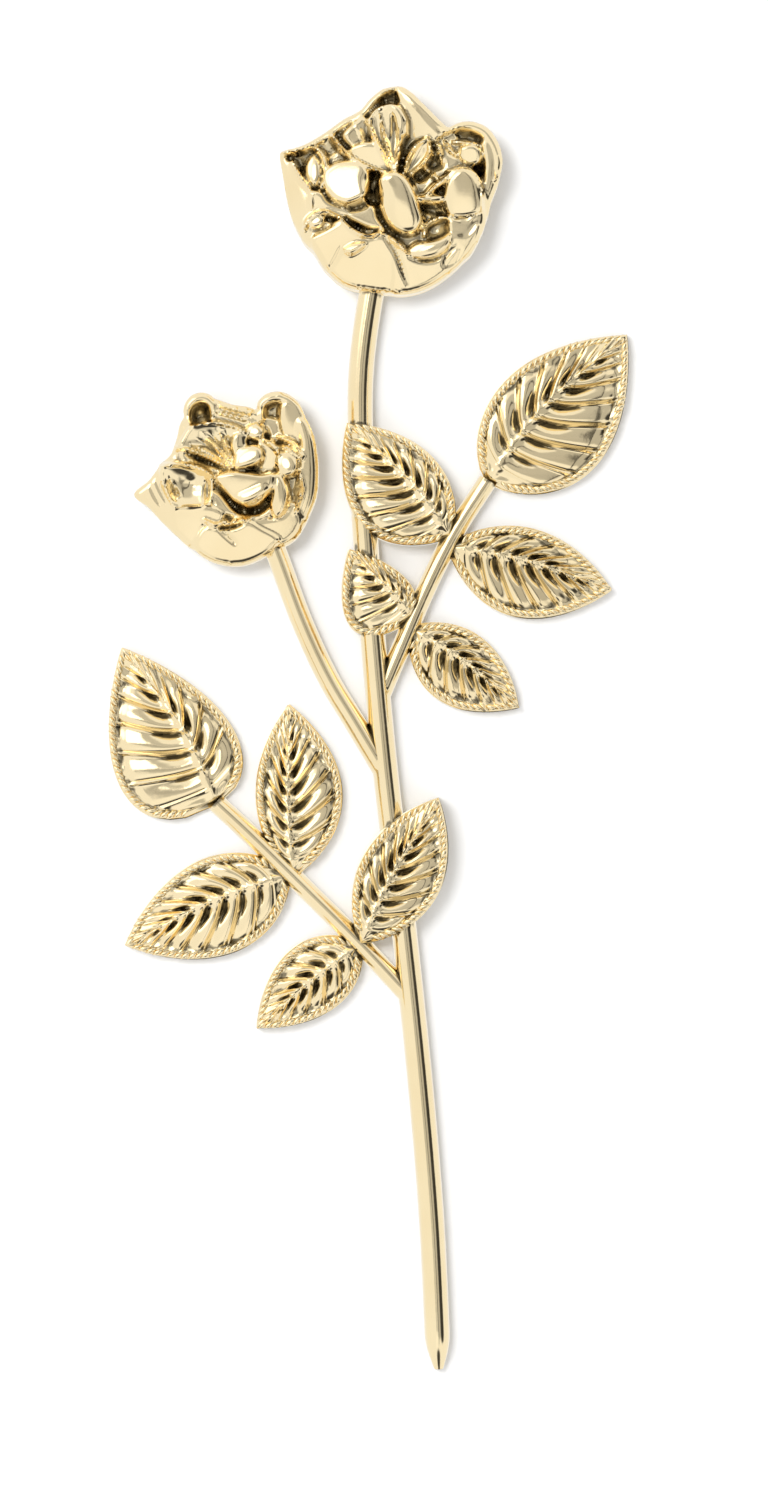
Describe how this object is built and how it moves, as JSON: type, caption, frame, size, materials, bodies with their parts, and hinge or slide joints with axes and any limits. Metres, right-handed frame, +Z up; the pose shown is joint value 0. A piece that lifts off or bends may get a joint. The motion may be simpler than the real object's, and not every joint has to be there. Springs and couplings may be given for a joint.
{
  "type": "rose spray applique",
  "caption": "Cast metal spray for a wall or door: a curved stem with an open rose head, a smaller rose on a side stem and two side sprays of veined leaves, flat at the back.",
  "frame": {"origin": "on the flat back of the main stem, a little above the fork of the left leaf spray, at the middle of the height that the picture covers", "axes": "+Z up along the length of the spray, from the root end of the stem to the top rose; +X to the right as seen from the front; +Y out of the flat back, toward the wall, so that the relief faces -Y"},
  "size_m": [0.1298, 0.0148, 0.3193],
  "materials": {
    "pale_gold": "polished pale champagne gold"
  },
  "bodies": {
    "root": {"rose_spray": "pale_gold"}
  },
  "joints": []
}
